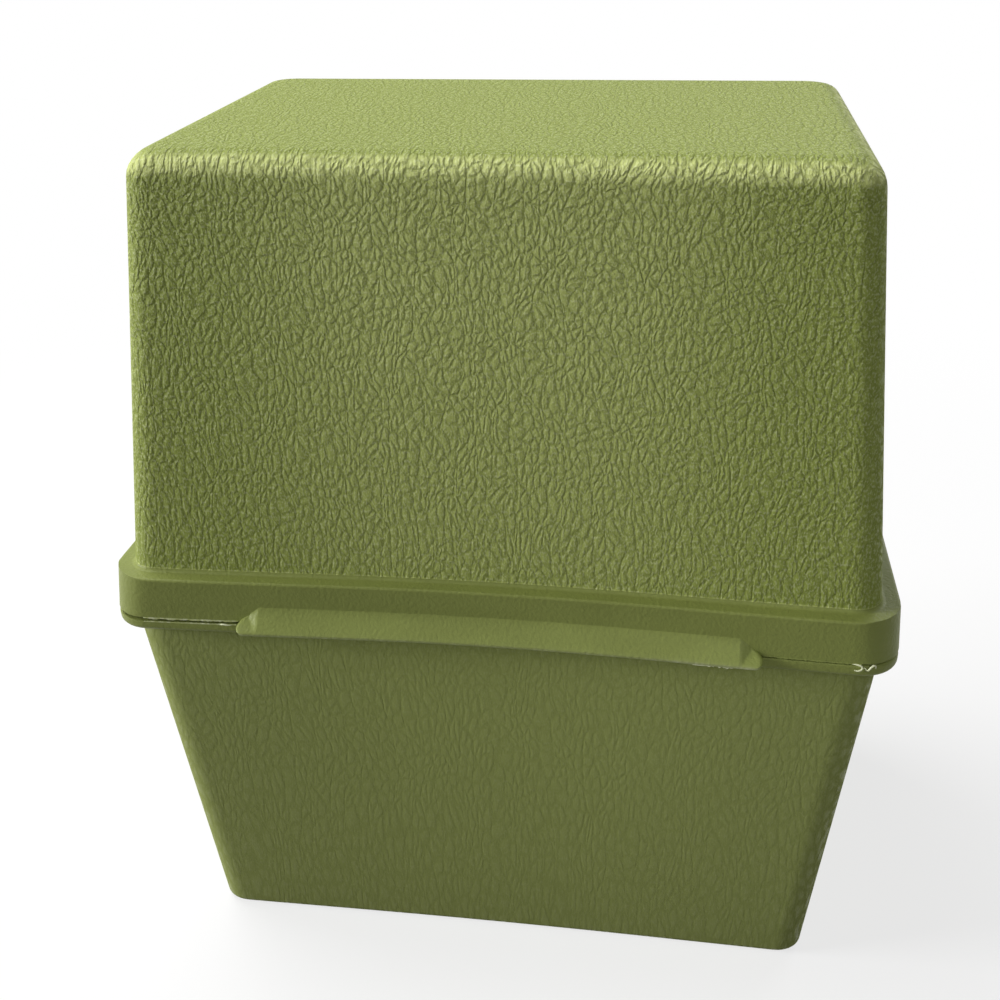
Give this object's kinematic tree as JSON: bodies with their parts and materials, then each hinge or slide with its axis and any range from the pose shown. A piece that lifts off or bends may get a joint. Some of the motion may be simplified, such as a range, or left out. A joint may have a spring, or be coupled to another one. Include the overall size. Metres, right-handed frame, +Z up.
{
  "type": "recipe box",
  "caption": "Tapered moulded plastic recipe box with a deep hinged lid, stepped smooth rim, back living hinge and tabbed dividers with cards inside.",
  "frame": {"origin": "middle of the underside, on the surface that the box stands on", "axes": "+X to the right seen from the front, +Y towards the hinge at the back, +Z up"},
  "size_m": [0.1538, 0.1164, 0.1735],
  "materials": {
    "grained_shell": "leather-grained moulded polypropylene",
    "smooth_hinge": "smooth satin moulded polypropylene",
    "divider_stock": "matt manila index board",
    "card_stock": "matt ruled card"
  },
  "bodies": {
    "base": {"base_shell": "grained_shell", "base_hinge_leaf": "smooth_hinge", "hinge_web": "smooth_hinge"},
    "lid": {"lid_shell": "grained_shell", "lid_hinge_leaf": "smooth_hinge"},
    "section_1": {"divider_1": "divider_stock", "section_1_cards": "card_stock"},
    "section_2": {"divider_2": "divider_stock", "section_2_cards": "card_stock"},
    "section_3": {"divider_3": "divider_stock", "section_3_cards": "card_stock"},
    "section_4": {"divider_4": "divider_stock", "section_4_cards": "card_stock"},
    "section_5": {"divider_5": "divider_stock", "section_5_cards": "card_stock"},
    "section_6": {"divider_6": "divider_stock", "section_6_cards": "card_stock"}
  },
  "joints": [
    {"name": "lid_hinge", "type": "hinge", "parent": "base", "child": "lid", "pos_m": [0, 0.05746, 0.08425], "axis": [-1, 0, 0], "range_deg": [0, 165]},
    {"name": "section_1_tip", "type": "hinge", "parent": "base", "child": "section_1", "pos_m": [0, 0.01855, 0.00254], "axis": [1, 0, 0], "range_deg": [0, 42]},
    {"name": "section_2_tip", "type": "hinge", "parent": "base", "child": "section_2", "pos_m": [0, 0.02205, 0.00254], "axis": [1, 0, 0], "range_deg": [0, 35]},
    {"name": "section_3_tip", "type": "hinge", "parent": "base", "child": "section_3", "pos_m": [0, 0.02555, 0.00254], "axis": [1, 0, 0], "range_deg": [0, 28]},
    {"name": "section_4_tip", "type": "hinge", "parent": "base", "child": "section_4", "pos_m": [0, 0.02905, 0.00254], "axis": [1, 0, 0], "range_deg": [0, 21]},
    {"name": "section_5_tip", "type": "hinge", "parent": "base", "child": "section_5", "pos_m": [0, 0.03255, 0.00254], "axis": [1, 0, 0], "range_deg": [0, 14]},
    {"name": "section_6_tip", "type": "hinge", "parent": "base", "child": "section_6", "pos_m": [0, 0.03605, 0.00254], "axis": [1, 0, 0], "range_deg": [0, 7]}
  ],
  "couplings": [
    {"joint": "section_2_tip", "follows": "section_1_tip", "ratio": 0.83333},
    {"joint": "section_3_tip", "follows": "section_1_tip", "ratio": 0.66667},
    {"joint": "section_4_tip", "follows": "section_1_tip", "ratio": 0.5},
    {"joint": "section_5_tip", "follows": "section_1_tip", "ratio": 0.33333},
    {"joint": "section_6_tip", "follows": "section_1_tip", "ratio": 0.16667}
  ]
}
